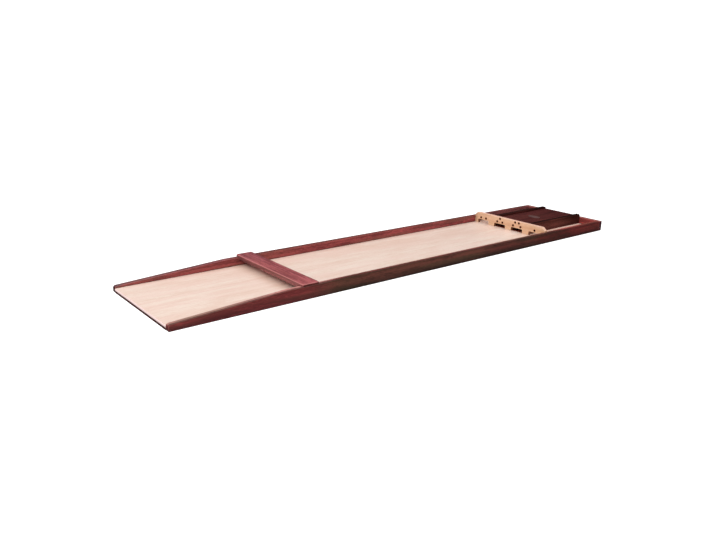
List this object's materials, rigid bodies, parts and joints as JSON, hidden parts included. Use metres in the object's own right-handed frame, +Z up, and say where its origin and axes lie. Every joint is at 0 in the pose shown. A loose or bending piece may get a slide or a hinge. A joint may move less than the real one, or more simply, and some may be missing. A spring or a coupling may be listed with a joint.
{
  "type": "dutch shuffleboard",
  "caption": "Long shallow wooden trough for sliding discs, with a lift-off crossbar, a board of arched scoring gates, and bays behind it under a lift-out cover.",
  "frame": {"origin": "middle of the board's footprint, on the surface it stands on", "axes": "+X to the player's right, +Y along the board from the player's end to the end wall, +Z up"},
  "size_m": [0.4, 2, 0.0595],
  "materials": {
    "panel_wood": "clear satin lacquer",
    "red_wood": "red-brown stain, satin",
    "batten_wood": "dark stain, matt",
    "bay_wood": "dark brown stain, satin",
    "crossbar_wood": "red-brown stain, satin",
    "peg_wood": "bare beech",
    "gate_wood": "clear satin lacquer",
    "cover_wood": "dark brown stain, satin",
    "oval_grey": "blank, satin",
    "zinc": "zinc plated"
  },
  "bodies": {
    "board": {"playing_panel": "panel_wood", "left_rail": "red_wood", "right_rail": "red_wood", "end_wall": "red_wood", "front_batten": "batten_wood", "crossbar_batten": "batten_wood", "middle_batten": "batten_wood", "gate_batten": "batten_wood", "rear_batten": "batten_wood", "batten_screws": "zinc", "end_wall_screws": "zinc", "left_divider": "bay_wood", "middle_divider": "bay_wood", "right_divider": "bay_wood", "divider_screws": "zinc", "left_cleat": "bay_wood", "right_cleat": "bay_wood", "cleat_screws": "zinc"},
    "crossbar": {"crossbar": "crossbar_wood", "crossbar_pegs": "peg_wood"},
    "gate": {"gate_board": "gate_wood"},
    "cover": {"cover_panel": "cover_wood", "cover_front_batten": "cover_wood", "cover_rear_batten": "cover_wood", "oval_plate": "oval_grey"}
  },
  "joints": [
    {"name": "crossbar_lift", "type": "slide", "parent": "board", "child": "crossbar", "axis": [0, 0, 1], "range_m": [0, 0.04]},
    {"name": "gate_lift", "type": "slide", "parent": "board", "child": "gate", "axis": [0, 0, 1], "range_m": [0, 0.05]},
    {"name": "cover_lift", "type": "slide", "parent": "board", "child": "cover", "axis": [0, 0, 1], "range_m": [0, 0.04]}
  ]
}
